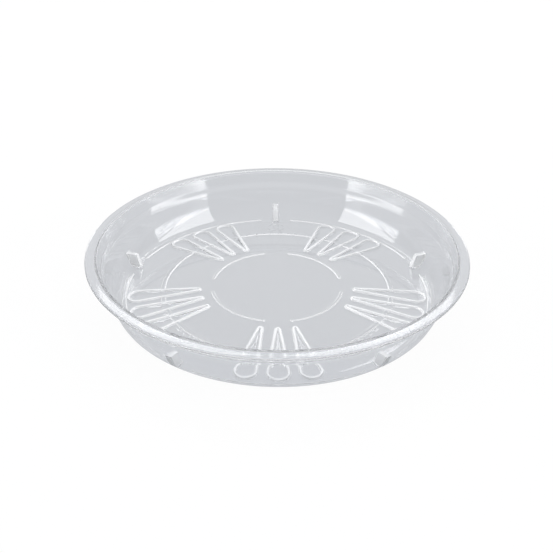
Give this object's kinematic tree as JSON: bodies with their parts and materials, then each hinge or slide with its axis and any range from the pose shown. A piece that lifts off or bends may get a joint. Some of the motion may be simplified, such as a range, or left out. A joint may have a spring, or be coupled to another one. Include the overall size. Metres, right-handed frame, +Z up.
{
  "type": "plant saucer",
  "caption": "Round clear plastic plant saucer with a ribbed, slightly raised floor, flared wall, stepped collar and wide drooping lip, to catch water under a pot.",
  "frame": {"origin": "centre of the saucer, on the surface that it stands on", "axes": "+Z up along the saucer's axis, -Y towards the front of the picture, +X to its right"},
  "size_m": [0.209, 0.209, 0.0297],
  "materials": {
    "clear_plastic": "clear gloss moulded plastic"
  },
  "bodies": {
    "root": {"centre_panel": "clear_plastic", "drain_loop_1": "clear_plastic", "drain_loop_10": "clear_plastic", "drain_loop_11": "clear_plastic", "drain_loop_12": "clear_plastic", "drain_loop_13": "clear_plastic", "drain_loop_14": "clear_plastic", "drain_loop_15": "clear_plastic", "drain_loop_2": "clear_plastic", "drain_loop_3": "clear_plastic", "drain_loop_4": "clear_plastic", "drain_loop_5": "clear_plastic", "drain_loop_6": "clear_plastic", "drain_loop_7": "clear_plastic", "drain_loop_8": "clear_plastic", "drain_loop_9": "clear_plastic", "foot_ring": "clear_plastic", "inner_ring_rib_1": "clear_plastic", "inner_ring_rib_2": "clear_plastic", "inner_ring_rib_3": "clear_plastic", "inner_ring_rib_4": "clear_plastic", "middle_ring_arc_1": "clear_plastic", "middle_ring_arc_2": "clear_plastic", "middle_ring_arc_3": "clear_plastic", "middle_ring_arc_4": "clear_plastic", "middle_ring_arc_5": "clear_plastic", "middle_ring_links_1": "clear_plastic", "middle_ring_links_2": "clear_plastic", "middle_ring_links_3": "clear_plastic", "middle_ring_links_4": "clear_plastic", "middle_ring_links_5": "clear_plastic", "outer_ring_rib_1": "clear_plastic", "outer_ring_rib_2": "clear_plastic", "outer_ring_rib_3": "clear_plastic", "outer_ring_rib_4": "clear_plastic", "outer_ring_rib_5": "clear_plastic", "pot_stop_1": "clear_plastic", "pot_stop_2": "clear_plastic", "pot_stop_3": "clear_plastic", "pot_stop_4": "clear_plastic", "pot_stop_5": "clear_plastic", "rim_collar": "clear_plastic", "rim_lip": "clear_plastic", "side_wall": "clear_plastic", "sloping_floor": "clear_plastic"}
  },
  "joints": []
}
